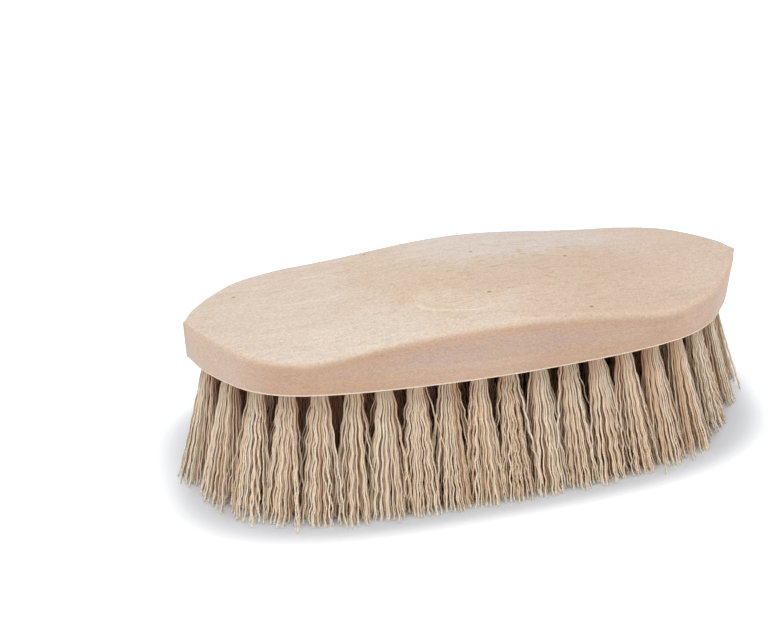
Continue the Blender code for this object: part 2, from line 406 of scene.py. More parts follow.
def edge_radius(x):
    """Radius of the rounded top edge, which gets crisper towards the two noses."""
    crisp = ease(abs(x) / HALF_LENGTH, NOSE_START_SHARE, 1)
    return TOP_EDGE_RADIUS + (NOSE_EDGE_RADIUS - TOP_EDGE_RADIUS) * crisp


print("top edge stands back", round((WALL_LEAN + COVE_DEPTH) * 1000, 1), "mm in the middle")

# %% Section through the wall
ARRIS_RADIUS = 0.0004
COVE_START_HEIGHT = 0.0065
COVE_SOFTNESS = 1.3
COVE_SHADE_LIFT = 0.8
SLOPE_STEP = 0.0001
ARRIS_STEPS = 3
COVE_STEPS = 12
EDGE_STEPS = 8


def wall_section(point, normal):
    """Places up the wall at one outline point, each with how much it is side and its painted cove shade."""
    x, y = point
    side = math.copysign(1, y)
    lean = wall_lean(y)
    hollow = cove_inset(x)
    radius = edge_radius(x)
    edge = np.array([x, y - side * min(lean + hollow, abs(y))])
    rise = (top_height(*(edge + normal * SLOPE_STEP)) - top_height(*edge)) / SLOPE_STEP
    last_angle = math.pi / 2 - math.atan(rise)
    landing = edge + normal * radius * (1 - math.cos(last_angle))
    rim_height = top_height(*landing) - radius * math.sin(last_angle)
    places = []
    for angle in np.linspace(0, math.pi / 2, ARRIS_STEPS + 1):
        spot = point + normal * ARRIS_RADIUS * (1 - math.sin(angle))
        places.append((*spot, ARRIS_RADIUS * (1 - math.cos(angle)), 1.0, 0.0))
    for t in np.linspace(0, 1, COVE_STEPS + 1):
        height = COVE_START_HEIGHT + (rim_height - COVE_START_HEIGHT) * t
        inset = lean * height / rim_height + hollow * (1 - (1 - t**COVE_SOFTNESS) ** 2)
        # Painted shade of the cove, strongest partway up and where the cove is deepest.
        shade = math.sin(math.pi * t**COVE_SHADE_LIFT) * hollow / COVE_DEPTH
        places.append((x, y - side * min(inset, abs(y)), height, 1.0, max(shade, 0.0)))
    for angle in np.linspace(0, last_angle, EDGE_STEPS + 1)[1:]:
        spot = edge + normal * radius * (1 - math.cos(angle))
        places.append((*spot, rim_height + radius * math.sin(angle), 1 - angle / last_angle, 0.0))
    return [(Vector(place[:3]) + Vector((0, 0, FACE_HEIGHT)), place[3:]) for place in places]


sections = [wall_section(point, normal) for point, normal in zip(outline, inward_normals(outline))]
print("rings up the wall", len(sections[0]))

# %% Raise the block ring by ring
CROSS_CUTS = 28


def shape_block(bm):
    """Extrude the outline up its wall, then crown the back between its two long edges."""
    station = bm.verts.layers.int.new("station")
    side = bm.verts.layers.float.new("side")
    # The cove layer holds the painted shade of the cove.
    cove = bm.verts.layers.float.new("cove")
    count = len(sections)
    ring = bmesh.ops.create_circle(bm, cap_ends=True, segments=count, radius=HALF_WIDTH)["verts"]
    for index, vert in enumerate(ring):
        vert[station] = index
        vert.co = sections[index][0][0]
    bm.faces.ensure_lookup_table()
    face = bm.faces[0]
    for level in range(1, len(sections[0])):
        grown = bmesh.ops.extrude_face_region(bm, geom=[face])["geom"]
        if level > 1:
            bmesh.ops.delete(bm, geom=[face], context="FACES_ONLY")
        face = next(item for item in grown if isinstance(item, bmesh.types.BMFace))
        for vert in face.verts:
            vert.co, (vert[side], vert[cove]) = sections[vert[station]][level]
    edge = {vert[station]: vert for vert in face.verts}
    across = []
    for index in range(1, count // 2):
        across += bmesh.ops.connect_verts(bm, verts=[edge[index], edge[count - index]])["edges"]
    inner = bmesh.ops.subdivide_edges(bm, edges=across, cuts=CROSS_CUTS, use_grid_fill=True)["geom_inner"]
    for vert in inner:
        if isinstance(vert, bmesh.types.BMVert):
            vert.co.z = FACE_HEIGHT + top_height(vert.co.x, vert.co.y)
            vert[side] = 0
    bmesh.ops.recalc_face_normals(bm, faces=bm.faces)


bm = bmesh.new()
shape_block(bm)
block = place_object("hardwood_block_finished", bm)
print("block faces before drilling", len(block.data.polygons))

# %% [markdown]
# ## Where the tufts stand
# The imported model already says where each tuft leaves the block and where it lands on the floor. The
# corners of a tuft's bound root lie at its highest level, and the corners of its strands at the floor.
# Sorted along the brush they fall into equal groups, one for each tuft, and the middle of a group is the
# tuft's place.

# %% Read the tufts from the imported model
ROOT_CORNERS = 6
TIP_CORNERS = 18
LEVEL_GRAIN = 0.00002


def corner_groups(node, level, corners):
    """Middles of the groups of corners that a node has at one level, in order along the brush."""
    points = np.array([vert.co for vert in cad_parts[node].data.vertices])
    flat = points[np.abs(points[:, 2] - level) < LEVEL_GRAIN]
    single = np.unique(np.round(flat / LEVEL_GRAIN).astype(int)[:, :2], axis=0) * LEVEL_GRAIN
    return single.reshape(-1, corners, 2).mean(axis=1)


tufts = []
for node in sorted(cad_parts):
    if "tuft" not in node:
        continue
    roots = corner_groups(node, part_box(node)[1].z, ROOT_CORNERS)
    tips = corner_groups(node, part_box(node)[0].z, TIP_CORNERS)
    for number, (root, tip) in enumerate(zip(roots, tips), start=1):
        name = node if len(roots) == 1 else f"{node}_{number:02d}"
        tufts.append((name, node, root, tip))
print("tufts", len(tufts))

# %% [markdown]
# ## Drilling the holes
# Each tuft needs its hole. One mesh of short cylinders is taken away from the block with a Boolean
# modifier, whose result becomes the block's own mesh, and then the cutter is deleted. A fine ring of shadow
# round every tuft's root is what this gives, seen from below.

# %% Drill the block
HOLE_RADIUS = 0.0029
HOLE_DEPTH = 0.009
CUT_OVERRUN = 0.002
HOLE_SIDES = 24
SHARP_ANGLE = math.radians(40)

bm = bmesh.new()
for name, node, root, tip in tufts:
    middle = Matrix.Translation((*root, FACE_HEIGHT + (HOLE_DEPTH - CUT_OVERRUN) / 2))
    bmesh.ops.create_cone(bm, cap_ends=True, segments=HOLE_SIDES, radius1=HOLE_RADIUS, radius2=HOLE_RADIUS,
                          depth=HOLE_DEPTH + CUT_OVERRUN, matrix=middle)
cutter = place_object("hole_cutter", bm)
drill = block.modifiers.new("drill", "BOOLEAN")
drill.operation = "DIFFERENCE"
drill.object = cutter
drilled = bpy.data.meshes.new_from_object(block.evaluated_get(bpy.context.evaluated_depsgraph_get()))
block.modifiers.clear()
block.data = drilled
bpy.data.objects.remove(cutter, do_unlink=True)
block.data.shade_smooth()
block.data.set_sharp_from_angle(angle=SHARP_ANGLE)
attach(block, "root")
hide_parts("hardwood_block")
print("block faces after drilling", len(block.data.polygons))

# %% [markdown]
# ## Bare wood
# The block is sanded, pale, close-grained hardwood with no varnish. Its look is made of a few quiet layers:
# broad patches, fine lines along the grain, short brown dashes, and a fuzz that sanding leaves. Streaks
# along a direction are also what a plant fibre has, so that layer is a node group, built once. It stretches
# a noise by three amounts, one for each axis, and puts out a fine value and a broad one. Each layer has its
# own scale, detail and warp.


# %% Node group for streaks along a direction
STREAK_LAYERS = (("Fine", 1.0, 3.0, 0.1), ("Broad", 0.22, 1.0, 0.6))
STREAK_SOCKETS = (
    ("Vector", "INPUT", "NodeSocketVector"),
    ("Stretch", "INPUT", "NodeSocketVector"),
    ("Contrast", "INPUT", "NodeSocketFloat"),
    ("Fine", "OUTPUT", "NodeSocketFloat"),
    ("Broad", "OUTPUT", "NodeSocketFloat"),
)
NOISE_MIDDLE = 0.5


def build_streaks():
    """Group that stretches a noise, and puts out a fine and a broad layer of it."""
    group = bpy.data.node_groups.new("long_streaks", "ShaderNodeTree")
    for name, way, kind in STREAK_SOCKETS:
        group.interface.new_socket(name, in_out=way, socket_type=kind)
    inside = add_node(group, "NodeGroupInput")
    outside = add_node(group, "NodeGroupOutput")
    stretched = vectors(group, "MULTIPLY", inside.outputs["Vector"], inside.outputs["Stretch"])
    half = maths(group, "DIVIDE", 0.5, inside.outputs["Contrast"])
    low = maths(group, "SUBTRACT", NOISE_MIDDLE, half)
    high = maths(group, "ADD", NOISE_MIDDLE, half)
    for output, scale, detail, warp in STREAK_LAYERS:
        settings = {"Vector": stretched, "Scale": scale, "Detail": detail, "Distortion": warp}
        noise = add_node(group, "ShaderNodeTexNoise", **settings).outputs["Fac"]
        group.links.new(spread(group, noise, low, high), outside.inputs[output])
    return group


def add_streaks(tree, vector, stretch, contrast):
    """Fine and broad streaks on the given places."""
    settings = {"node_tree": streaks_group}
    node = add_node(tree, "ShaderNodeGroup", settings, Vector=vector, Stretch=stretch, Contrast=contrast)
    return node.outputs["Fine"], node.outputs["Broad"]


streaks_group = build_streaks()
print("streaks group nodes", len(streaks_group.nodes))

# %% [markdown]
# The plank is cream at one end and peach at the other, with soft clouds, and its figure shows in a few
# broad patches: a pale one near the front left, a straw one left of the middle, a greyish pink strip along
# the back, and a straw one with brown dashes between them. Their edges are uneven, because the places are
# pushed about by a noise before a patch is drawn on them. Only the pale part at the left ends in a crisp
# edge. A patch is listed with its middle and its reach along and across the brush, and with its colour.

# %% Colours and patches of the back
WOOD_CREAM = screen_colour(230, 213, 195)
WOOD_PINK = screen_colour(228, 208, 195)
WOOD_PEACH = screen_colour(221, 197, 176)
WOOD_PALE = screen_colour(231, 215, 201)
WARM_PLACES = (-0.02, 0.10)
WARM_SHARE = 0.45
RAGGED_SCALE = 40.0
RAGGED_DETAIL = 3.0
RAGGED_REACH = 0.022
PATCH_EDGE = (0.5, 1.1)
PATCH_SHARE = 0.8
BACK_PATCHES = [
    ((-0.028, 0.0), (0.026, 0.036), screen_colour(222, 200, 175)),
    ((-0.050, -0.024), (0.036, 0.013), screen_colour(234, 221, 206)),
    ((-0.014, -0.0115), (0.011, 0.0055), screen_colour(232, 214, 198)),
    ((0.022, 0.019), (0.062, 0.015), screen_colour(228, 215, 208)),
    ((0.032, -0.004), (0.060, 0.016), screen_colour(219, 196, 173)),
    ((0.052, -0.024), (0.050, 0.010), screen_colour(219, 194, 172)),
]
PALE_PATCH = ((-0.068, -0.036), (0.047, 0.047))
PALE_EDGE = (0.92, 1.0)
PALE_SHARE = 0.5


def ragged(tree, place, reach):
    """Places pushed about a little, so that a patch drawn on them has uneven edges."""
    settings = {"Vector": place, "Scale": RAGGED_SCALE, "Detail": RAGGED_DETAIL}
    noise = add_node(tree, "ShaderNodeTexNoise", **settings).outputs["Color"]
    push = vectors(tree, "SUBTRACT", noise, (NOISE_MIDDLE, NOISE_MIDDLE, NOISE_MIDDLE))
    return vectors(tree, "ADD", place, vectors(tree, "MULTIPLY", push, (reach, reach, 0.0)))


def oval_place(tree, place, middle, reach):
    """Place as seen from the middle of an oval, and the distance from there, which is 1 on its rim."""
    away = vectors(tree, "SUBTRACT", place, (*middle, 0.0))
    seen = vectors(tree, "MULTIPLY", away, (1 / reach[0], 1 / reach[1], 0.0))
    return seen, vector_value(tree, "LENGTH", seen)


def patch_mask(tree, place, middle, reach, edge=PATCH_EDGE):
    """1 in the heart of an oval patch of the figure, and 0 outside it."""
    return rest_of(tree, spread(tree, oval_place(tree, place, middle, reach)[1], *edge))


def add_patches(tree, colour, place, patches):
    """Colour with every patch of a list laid over it."""
    for middle, reach, patch_colour in patches:
        amount = part(tree, patch_mask(tree, place, middle, reach), PATCH_SHARE)
        colour = mix(tree, amount, colour, patch_colour)
    return colour


def back_colour(tree, place, uneven, wavy, cloud):
    """Colour of the crowned back without its fine marks."""
    length = add_node(tree, "ShaderNodeSeparateXYZ", Vector=place).outputs["X"]
    warmth = part(tree, spread(tree, length, *WARM_PLACES), WARM_SHARE)
    colour = mix(tree, warmth, mix(tree, cloud, WOOD_CREAM, WOOD_PINK), WOOD_PEACH)
    colour = add_patches(tree, colour, uneven, BACK_PATCHES)
    pale = patch_mask(tree, wavy, *PALE_PATCH, PALE_EDGE)
    return mix(tree, part(tree, pale, PALE_SHARE), colour, WOOD_PALE)


print("patches on the back", len(BACK_PATCHES) + 1)

# %% [markdown]
# The wall is darker and pinker than the back, partly its own colour and partly painted shade, with plain
# lines along the grain. Two darker patches on the near side are painted shade as well. The cove has a
# greyer painted shade, and where the wall turns to face the ends it is painted paler, as more light falls
# there.

# %% Colours and patches of the wall
# The two wall colours are partly the wood's own colour and partly painted shade.
WOOD_WALL = screen_colour(209, 175, 150)
WOOD_WALL_PINK = screen_colour(210, 180, 159)
WOOD_WALL_LINE = screen_colour(188, 149, 124)
# Painted grey shade of the cove.
WOOD_COVE_SHADE = screen_colour(188, 165, 154)
# Painted light on the wall where it faces the ends.
WOOD_END_LIGHT = screen_colour(220, 196, 178)
WALL_LINE_SHARE = 0.4
# Share of the painted cove shade.
COVE_SHADE_SHARE = 0.8
# Facing at which the painted end light starts and is full.
END_LIGHT_FACING = (0.25, 0.9)
# Darker patches of painted shade on the near wall.
WALL_SHADE_PATCHES = [
    ((-0.062, -0.036), (0.040, 0.030), screen_colour(197, 161, 136)),
    ((0.042, -0.036), (0.036, 0.030), screen_colour(195, 163, 138)),
]


def wall_colour(tree, uneven, cloud, grain, normal):
    """Colour of the side wall with painted shade, the cove's painted shade and painted light on the ends."""
    colour = mix(tree, cloud, WOOD_WALL, WOOD_WALL_PINK)
    colour = add_patches(tree, colour, uneven, WALL_SHADE_PATCHES)
    # Painted shade in the cove.
    colour = mix(tree, part(tree, attribute(tree, "cove"), COVE_SHADE_SHARE), colour, WOOD_COVE_SHADE)
    colour = mix(tree, part(tree, grain, WALL_LINE_SHARE), colour, WOOD_WALL_LINE)
    # The wall is painted paler where it faces the ends.
    facing = add_node(tree, "ShaderNodeSeparateXYZ", Vector=normal).outputs["X"]
    return mix(tree, spread(tree, maths(tree, "ABSOLUTE", facing), *END_LIGHT_FACING), colour, WOOD_END_LIGHT)


print("patches on the wall", len(WALL_SHADE_PATCHES))

# %% [markdown]
# A few dark pin flecks lie on the back. They are dots in cells that divide the wood, and only some of the
# cells have one. Three pale curved marks show where something rubbed the wood. Each is a part of an oval's
# rim, made wavy by a small push of the places, and it fades towards its ends. It is listed with the oval's
# middle and reach, and with the side of the oval that it lies on. Sanding leaves a fuzz of short grains.

# %% Masks for flecks, marks and grains
FLECK_STRETCH = (55.0, 95.0, 0.0)
FLECK_CHANCE = 0.16
FLECK_RADII = (0.022, 0.055)
MARK_WAVE_REACH = 0.008
MARK_WIDTHS = (0.03, 0.10)
MARK_ENDS = (0.3, 0.8)
MARK_ARCS = [
    ((-0.061, 0.0052), (0.016, 0.0050), (0.0, -1.0)),
    ((-0.059, 0.0115), (0.009, 0.0050), (0.2, 1.0)),
    ((-0.005, -0.0145), (0.019, 0.0055), (-0.6, -0.8)),
]
SPECKLE_DETAIL = 2.0
SPECKLE_WARP = 1.2


def fleck_mask(tree, place):
    """Small dots in a few of the cells that divide the wood."""
    cells = vectors(tree, "MULTIPLY", place, FLECK_STRETCH)
    voronoi = add_node(tree, "ShaderNodeTexVoronoi", {"voronoi_dimensions": "2D"}, Vector=cells, Scale=1.0)
    dot = rest_of(tree, spread(tree, voronoi.outputs["Distance"], *FLECK_RADII))
    pick = add_node(tree, "ShaderNodeSeparateColor", Color=voronoi.outputs["Color"]).outputs["Red"]
    return part(tree, dot, maths(tree, "LESS_THAN", pick, FLECK_CHANCE))


def arc_mask(tree, place, middle, reach, towards):
    """1 on the part of an oval's rim that lies towards one side."""
    seen, distance = oval_place(tree, place, middle, reach)
    away = maths(tree, "ABSOLUTE", maths(tree, "SUBTRACT", distance, 1.0))
    line = rest_of(tree, spread(tree, away, *MARK_WIDTHS))
    lean = vector_value(tree, "DOT_PRODUCT", seen, (*towards, 0.0))
    return part(tree, line, spread(tree, lean, *MARK_ENDS))


def mark_mask(tree, wavy):
    """1 on any of the pale marks."""
    marks = 0.0
    for arc in MARK_ARCS:
        marks = maths(tree, "MAXIMUM", marks, arc_mask(tree, wavy, *arc))
    return marks


def speckle(tree, place, stretch):
    """Fine grains, a little longer along the wood."""
    grains = vectors(tree, "MULTIPLY", place, stretch)
    settings = {"Vector": grains, "Scale": 1.0, "Detail": SPECKLE_DETAIL, "Distortion": SPECKLE_WARP}
    return add_node(tree, "ShaderNodeTexNoise", **settings).outputs["Fac"]


print("pale marks", len(MARK_ARCS))

# %% [markdown]
# When the block was raised, each ring was told how much it is side and how much painted shade its cove
# gets. Side tells the wall from the back, and halfway between them is the rounded shoulder, which has a
# painted straw highlight. The arris over the bristles is found by its height, and has an almost white
# painted highlight. The fine layers are then laid over both colours in turn.

# %% Wood material
WOOD_STRAW = screen_colour(214, 184, 146)
# Painted highlight along the rounded shoulder.
WOOD_SHOULDER_HIGHLIGHT = screen_colour(228, 207, 178)
# Painted highlight on the arris over the bristles.
WOOD_ARRIS_HIGHLIGHT = screen_colour(246, 230, 208)
WOOD_LINE = screen_colour(205, 178, 154)
WOOD_DASH = screen_colour(206, 170, 134)
WOOD_FLECK = screen_colour(128, 98, 76)
WOOD_MARK = screen_colour(240, 226, 210)
GRAIN_STRETCH = (30.0, 520.0, 520.0)
GRAIN_CONTRAST = 1.8
DASH_STRETCH = (160.0, 1100.0, 1100.0)
DASH_CONTRAST = 2.4
CLOUD_STRETCH = (9.0, 34.0, 34.0)
CLOUD_CONTRAST = 3.0
FUZZ_STRETCH = (1200.0, 2200.0, 2200.0)
TINT_STRETCH = (260.0, 1500.0, 1500.0)
STREAKY_PATCH = ((0.025, -0.002), (0.065, 0.022))
WALL_SIDES = (0.15, 0.8)
# Band and share of the painted arris highlight.
ARRIS_HIGHLIGHT_BAND = (0.00063, 0.0009)
ARRIS_HIGHLIGHT_SHARE = 0.9
# Share of the painted shoulder highlight.
SHOULDER_HIGHLIGHT_SHARE = 0.88
LINE_SHARE = 0.22
DASH_PICK = (0.7, 1.0)
DASH_SHARE = 0.3
DASH_RISE = 0.35
TINT_PICK = (0.4, 0.65)
TINT_SHARE = 0.14
MARK_SHARE = 0.6
FLECK_SHARE = 0.75
SPECK_LOW = 0.6
SPECK_RISE = 0.8
WOOD_ROUGHNESS = 0.6
WOOD_ROUGHNESS_RISE = 0.1
GRAIN_RELIEF = 0.5
WOOD_RELIEF_DEPTH = 0.0001


def fine_wood_layers(tree, place, uneven, wavy, grain):
    """Each fine layer of the wood with its amount, from the lowest to the top one, two painted highlights
    among them.
    """
    side = attribute(tree, "side")
    off_wall = rest_of(tree, spread(tree, side, *WALL_SIDES))
    height = add_node(tree, "ShaderNodeSeparateXYZ", Vector=place).outputs["Z"]
    # Band just over the bristle face that takes the painted arris highlight.
    arris_highlight = rest_of(tree, spread(tree, height, *[FACE_HEIGHT + edge for edge in ARRIS_HIGHLIGHT_BAND]))
    dashes = spread(tree, add_streaks(tree, place, DASH_STRETCH, DASH_CONTRAST)[0], *DASH_PICK)
    dash_share = climb(tree, patch_mask(tree, uneven, *STREAKY_PATCH), DASH_RISE, DASH_SHARE)
    tint = spread(tree, speckle(tree, place, TINT_STRETCH), *TINT_PICK)
    return [
        # Painted highlight on the shoulder, strongest halfway between wall and back.
        (part(tree, part(tree, side, rest_of(tree, side)), SHOULDER_HIGHLIGHT_SHARE), WOOD_SHOULDER_HIGHLIGHT),
        (part(tree, part(tree, grain, LINE_SHARE), off_wall), WOOD_LINE),
        (part(tree, dashes, dash_share), WOOD_DASH),
        (part(tree, tint, TINT_SHARE), WOOD_STRAW),
        (part(tree, part(tree, mark_mask(tree, wavy), MARK_SHARE), off_wall), WOOD_MARK),
        (part(tree, part(tree, fleck_mask(tree, place), FLECK_SHARE), off_wall), WOOD_FLECK),
        # Painted highlight on the arris.
        (part(tree, arris_highlight, ARRIS_HIGHLIGHT_SHARE), WOOD_ARRIS_HIGHLIGHT),
    ]


def build_wood():
    material, tree, shader = new_material("bare_hardwood")
    where = add_node(tree, "ShaderNodeTexCoord")
    place = where.outputs["Object"]
    uneven = ragged(tree, place, RAGGED_REACH)
    wavy = ragged(tree, place, MARK_WAVE_REACH)
    grain = add_streaks(tree, place, GRAIN_STRETCH, GRAIN_CONTRAST)[0]
    cloud = add_streaks(tree, place, CLOUD_STRETCH, CLOUD_CONTRAST)[0]
    fuzz = speckle(tree, place, FUZZ_STRETCH)
    back = back_colour(tree, place, uneven, wavy, cloud)
    wall = wall_colour(tree, uneven, cloud, grain, where.outputs["Normal"])
    colour = mix(tree, spread(tree, attribute(tree, "side"), *WALL_SIDES), back, wall)
    colour = add_layers(tree, colour, fine_wood_layers(tree, place, uneven, wavy, grain))
    value = climb(tree, fuzz, SPECK_RISE, SPECK_LOW)
    speck = add_node(tree, "ShaderNodeHueSaturation", Color=colour, Value=value)
    tree.links.new(speck.outputs["Color"], shader.inputs["Base Color"])
    rough = climb(tree, grain, WOOD_ROUGHNESS_RISE, WOOD_ROUGHNESS)
    tree.links.new(rough, shader.inputs["Roughness"])
    add_relief(tree, shader, maths(tree, "ADD", fuzz, part(tree, grain, GRAIN_RELIEF)), WOOD_RELIEF_DEPTH)
    return material


block.data.materials.clear()
block.data.materials.append(build_wood())
print("wood nodes", len(block.data.materials[0].node_tree.nodes))

# %% [markdown]
# ## One straight tuft
# A tuft is dozens of stiff strands, each about three quarters of a millimetre thick. A strand here is a
# three-sided prism cut into 24 lengths, which is a few dozen faces, because there are thousands of strands.
# One strand is made, copied in its place for every strand of a tuft, and numbered. This straight tuft is
# the stock that every real tuft is combed from, so the strands and their numbers stay in the same order.

# %% Stock for the tufts
STRANDS = 80
STRAND_SIDES = 3
STRAND_LENGTHS = 24

bm = bmesh.new()
number = bm.verts.layers.int.new("strand")
along = bm.verts.layers.float.new("along")
bmesh.ops.create_cone(bm, cap_ends=True, segments=STRAND_SIDES, radius1=1, radius2=1, depth=1,
                      matrix=Matrix.Translation((0, 0, -0.5)))
upright = [edge for edge in bm.edges if abs(edge.verts[0].co.z - edge.verts[1].co.z) > 0.5]
bmesh.ops.subdivide_edges(bm, edges=upright, cuts=STRAND_LENGTHS - 1, use_grid_fill=True)
for vert in bm.verts:
    vert[along] = -vert.co.z
first = bm.verts[:] + bm.edges[:] + bm.faces[:]
for strand in range(1, STRANDS):
    for item in bmesh.ops.duplicate(bm, geom=first)["geom"]:
        if isinstance(item, bmesh.types.BMVert):
            item[number] = strand
stock = bpy.data.meshes.new("straight_tuft")
bm.to_mesh(stock)
bm.free()
stock.shade_smooth()
stock.attributes.new("tone", "FLOAT", "POINT")
# This attribute holds each strand's share of painted shade.
stock.attributes.new("painted_shade", "FLOAT", "POINT")
corners = np.array([vert.co for vert in stock.vertices])
strand_of = np.array([item.value for item in stock.attributes["strand"].data])
ring_of = np.rint(-corners[:, 2] * STRAND_LENGTHS).astype(int)
print("faces in one strand", len(stock.polygons) // STRANDS, "in one tuft", len(stock.polygons))

# %% [markdown]
# ## Combing a tuft
# The strands are packed tight in the hole, puff out below it, and spread to the floor, where each tuft runs
# into its neighbours. In the hole they are laid out like the seeds of a sunflower, which fills a disc
# evenly, and each keeps its place in a wider oval at the floor, widest towards the tufts beside it. The
# brush in the photograph was pushed a little along the floor, so all tufts lean towards +X, and at the two
# ends they are swept sideways too. A few of the outer strands stray into the next tuft. All are cut near
# one plane, and the cut end is a little thicker. The fibre is crimped in waves. Strands of one tuft were
# curled together, so their waves run side by side, with a small slip from lock to lock. Every eighth seed
# of a sunflower lies on one arm, which makes a good lock.

# %% Lay out the strands of a tuft
GOLDEN_ANGLE = math.pi * (3 - math.sqrt(5))
OUTWARD_POWER = 0.38
LOCKS = 8
LOCK_PULL_SHARE = 0.15
LANDING_SPREAD = (0.14, 0.06)
STRAY_FROM = 0.75
STRAY_CHANCE = 0.3
STRAY_REACH = 1.6


def sunflower(count, start):
    """Places in a disc of radius 1, a little denser towards its rim."""
    index = np.arange(count)
    angle = start + index * GOLDEN_ANGLE
    radius = ((index + 0.5) / count) ** OUTWARD_POWER
    return np.stack([radius * np.cos(angle), radius * np.sin(angle)], axis=1)


def lay_out(random):
    """Each strand's place in the disc, its lock, its place at the floor, and whether it strays."""
    disc = sunflower(STRANDS, random.uniform(0, 2 * math.pi))
    lock = np.arange(STRANDS) % LOCKS
    middle = np.array([disc[lock == index].mean(axis=0) for index in range(LOCKS)])
    landing = disc + (middle[lock] - disc) * LOCK_PULL_SHARE + random.normal(0, LANDING_SPREAD, (STRANDS, 2))
    stray = (np.linalg.norm(disc, axis=1) > STRAY_FROM) & (random.random(STRANDS) < STRAY_CHANCE)
    landing[stray, 0] *= STRAY_REACH
    return disc, lock, landing, stray


print("from seed to seed in degrees", round(math.degrees(GOLDEN_ANGLE), 1))

# %% Waves in the strands
CRIMP = 0.00042
CRIMP_OUT_SHARE = 0.6
CRIMP_START = 0.005
CRIMP_LENGTHS = (0.0072, 0.0105)
LOCK_SLIP = 0.035
RING_PACES = (0.75, 1.25)
STRAND_CRIMPS = (0.5, 1.3)
LOCK_CRIMPS = (0.6, 1.3)
TUFT_CRIMPS = (0.6, 1.15)


def curl(down, lock, beside, out, random):
    """Sideways swing of every ring of every strand."""
    pace = np.diff(down, axis=1, prepend=0) / random.uniform(*CRIMP_LENGTHS)
    pace *= random.uniform(*RING_PACES, STRAND_LENGTHS)
    slip = np.cumsum(random.normal(0, LOCK_SLIP, (LOCKS, STRAND_LENGTHS)), axis=1)
    turns = random.uniform(0, 1) + np.cumsum(pace, axis=1) + slip[lock]
    size = CRIMP * np.minimum(down / CRIMP_START, 1) * random.uniform(*STRAND_CRIMPS, STRANDS)[:, None]
    size *= random.uniform(*LOCK_CRIMPS, (LOCKS, STRAND_LENGTHS))[lock] * random.uniform(*TUFT_CRIMPS)
    swing = (np.sin(2 * math.pi * turns) * size)[..., None]
    sway = (np.cos(2 * math.pi * turns) * size * CRIMP_OUT_SHARE)[..., None]
    return swing * beside + sway * out


print("waves in a strand", [round(FACE_HEIGHT / length, 1) for length in CRIMP_LENGTHS])

# %% Paths of the strands
ROOT_RADIUS = 0.0024
SEAT_DEPTH = 0.008
TIP_REACH_BESIDE = 0.0086
TIP_REACH_OUT = 0.0068
TIP_REACH_IN = 0.011
TRIM_UNEVEN = 0.001
TRIM_POWER = 1.5
PUFF_POWER = 1.15
PUFF_SPREAD = 0.05
LEAN_POWER = 1.1
COMBED_TO = np.array([0.0045, 0.0])
RIGHT_COMBED_TO = np.array([0.0013, 0.0063])
LEFT_COMBED_TO = np.array([-0.0005, -0.0032])
END_COMB_FROM = 0.068
END_COMB_TO = 0.092


def comb(root, tip, random):
    """Path of every strand as points for its rings, with the strands' places in the disc and their locks."""
    out = (tip - root) / np.linalg.norm(tip - root)
    beside = np.array([-out[1], out[0]])
    disc, lock, landing, stray = lay_out(random)
    seated = (disc[:, :1] * beside + disc[:, 1:] * out) * ROOT_RADIUS
    outward = np.where(landing[:, 1:] > 0, TIP_REACH_OUT, TIP_REACH_IN)
    oval = landing[:, :1] * beside * TIP_REACH_BESIDE + landing[:, 1:] * out * outward
    power = np.where(stray, 1.0, random.normal(PUFF_POWER, PUFF_SPREAD, STRANDS))
    trim = TRIM_UNEVEN * random.random(STRANDS) ** TRIM_POWER
    share = np.linspace(0, 1, STRAND_LENGTHS)
    down = share * (FACE_HEIGHT - trim)[:, None]
    puff = (share ** power[:, None])[..., None]
    combed = COMBED_TO + RIGHT_COMBED_TO * ease(root[0], END_COMB_FROM, END_COMB_TO)
    combed = combed + LEFT_COMBED_TO * ease(-root[0], END_COMB_FROM, END_COMB_TO)
    lean = (tip - root + combed) * (share**LEAN_POWER)[:, None]
    plan = root + lean + seated[:, None] * (1 - puff) + oval[:, None] * puff
    plan = plan + curl(down, lock, beside, out, random)
    path = np.concatenate([plan, (FACE_HEIGHT - down)[..., None]], axis=2)
    seat = np.concatenate([root + seated, np.full((STRANDS, 1), FACE_HEIGHT + SEAT_DEPTH)], axis=1)
    return np.concatenate([seat[:, None], path], axis=1), disc, lock


print("a tuft's tips reach", TIP_REACH_BESIDE * 1000, "mm beside its middle")

# %% Tone of the strands
OUTER_TONE = 0.78
TONE_SPREAD = 0.13
LOCK_TONE_SPREAD = 0.08
# Painted shade that darkens the heart of a tuft.
HEART_SHADE = 0.32
HEART_SHARE = 0.45
# Painted shade on the inner side of a rim tuft, lessened at the +X end.
FACING_SHARE = 0.45
FLANK_SHARE = 0.6
OPEN_END = 0.8
OPEN_FROM = 0.06
OPEN_TO = 0.088


def tones(disc, lock, random):
    """Tone of every strand from 0, dark, to 1, pale, with painted shade that makes the heart of a tuft
    darker.
    """
    heart = np.minimum((1 - np.linalg.norm(disc, axis=1)) / HEART_SHARE, 1)
    tone = random.normal(0, LOCK_TONE_SPREAD, LOCKS)[lock] + random.normal(OUTER_TONE, TONE_SPREAD, STRANDS)
    return np.clip(tone - HEART_SHADE * heart, 0, 1)


def painted_shade_shares(disc, root, on_rim):
    """Share of painted shade for every strand: full in the inner rows, none on a rim tuft's outer side, less
    at the +X end.
    """
    flank = FLANK_SHARE * np.clip(0.5 - disc[:, 1] / (2 * FACING_SHARE), 0, 1)
    shares = flank if on_rim else np.ones(STRANDS)
    return shares * (1 - OPEN_END * ease(root[0], OPEN_FROM, OPEN_TO))


# %% Comb every tuft
STRAND_RADIUS = 0.00037
STRAND_THICKNESSES = (0.82, 1.18)
TIP_THICKNESS_SHARE = 0.85
CUT_END_SHARE = 1.35
SEED = 7


